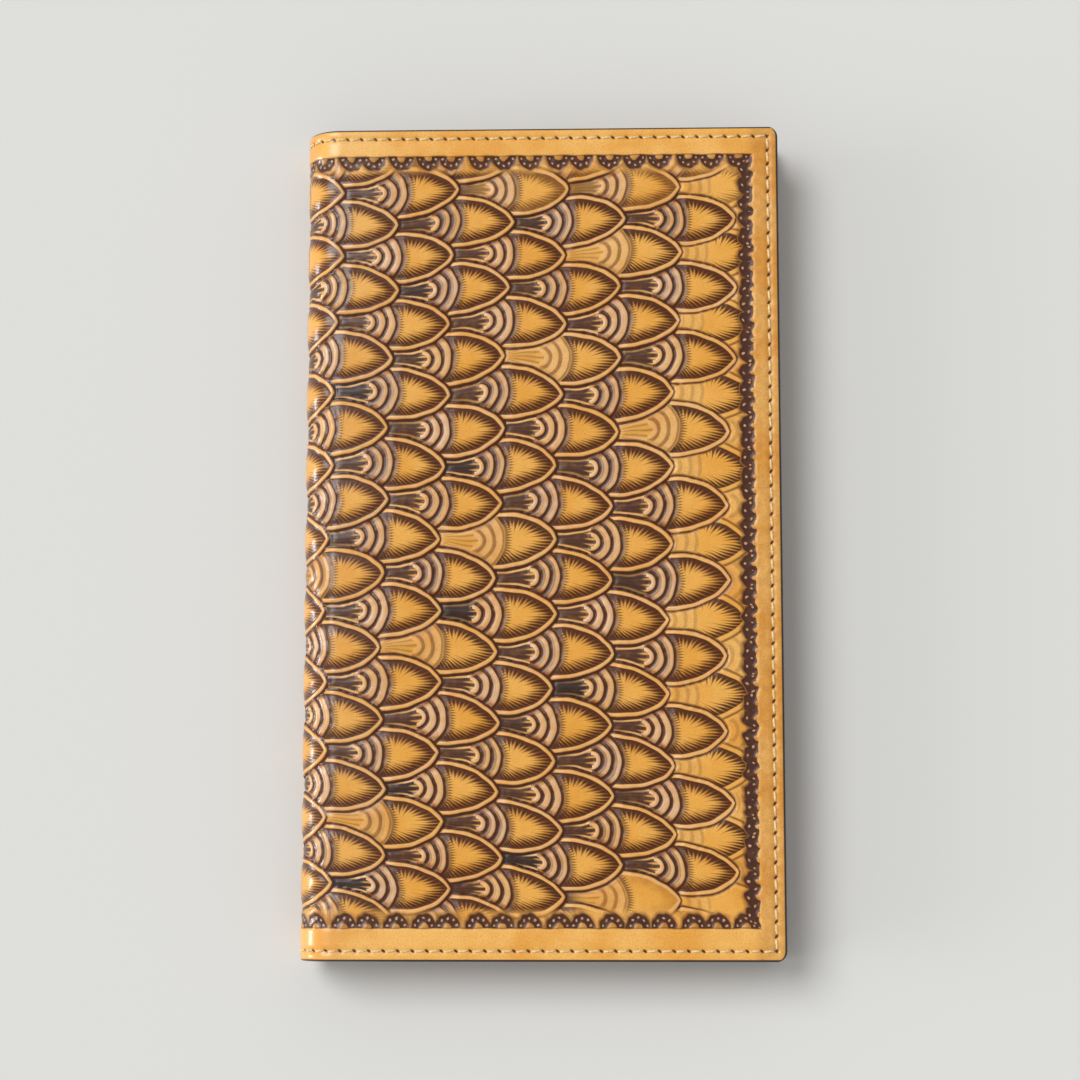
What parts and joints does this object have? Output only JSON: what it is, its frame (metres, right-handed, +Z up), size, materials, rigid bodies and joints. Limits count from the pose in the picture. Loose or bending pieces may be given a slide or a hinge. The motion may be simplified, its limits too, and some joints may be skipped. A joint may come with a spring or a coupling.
{
  "type": "tooled leather wallet",
  "caption": "Long folding leather wallet with a tooled scale pattern and stitched edges; opens flat on a rolled spine to stepped card pockets, a bill pocket and a window pocket.",
  "frame": {"origin": "middle of the closed wallet's footprint, on the surface that the back cover lies on", "axes": "+X from the spine to the open edge, +Y along the spine to the end that the pocket mouths face, +Z up out of the front cover"},
  "size_m": [0.102, 0.178, 0.0155],
  "materials": {
    "tooled_hide": "tooled and antiqued, satin",
    "pocket_leather": "smooth, satin",
    "lining": "matt",
    "thread": "waxed cord",
    "clear_sheet": "clear, glossy"
  },
  "bodies": {
    "back_half": {"cover_back_panel": "tooled_hide", "stitch_back_panel": "thread", "lining_back_panel": "lining", "bill_pocket_panel": "pocket_leather", "back_card_pocket_1": "pocket_leather", "back_card_pocket_2": "pocket_leather", "back_card_pocket_3": "pocket_leather", "back_card_pocket_4": "pocket_leather", "back_card_pocket_5": "pocket_leather", "back_card_pocket_6": "pocket_leather", "back_card_pocket_low": "pocket_leather"},
    "spine": {"cover_spine": "tooled_hide", "lining_spine": "lining", "stitch_spine_head": "thread", "stitch_spine_tail": "thread"},
    "front_half": {"cover_front_panel": "tooled_hide", "stitch_front_panel": "thread", "lining_front_panel": "lining", "checkbook_sleeve_panel": "pocket_leather", "front_card_pocket_1": "pocket_leather", "front_card_pocket_2": "pocket_leather", "front_card_pocket_3": "pocket_leather", "front_card_pocket_4": "pocket_leather", "front_card_pocket_5": "pocket_leather", "id_window_sheet": "clear_sheet", "id_pocket_panel": "pocket_leather"}
  },
  "joints": [
    {"name": "cover_fold", "type": "hinge", "parent": "back_half", "child": "spine", "pos_m": [-0.04873, 0, 0.00227], "axis": [0, -1, 0], "range_deg": [0, 90]},
    {"name": "cover_fold_front", "type": "hinge", "parent": "spine", "child": "front_half", "pos_m": [-0.04873, 0, 0.01325], "axis": [0, -1, 0], "range_deg": [0, 90]}
  ],
  "couplings": [
    {"joint": "cover_fold_front", "follows": "cover_fold", "ratio": 1}
  ]
}
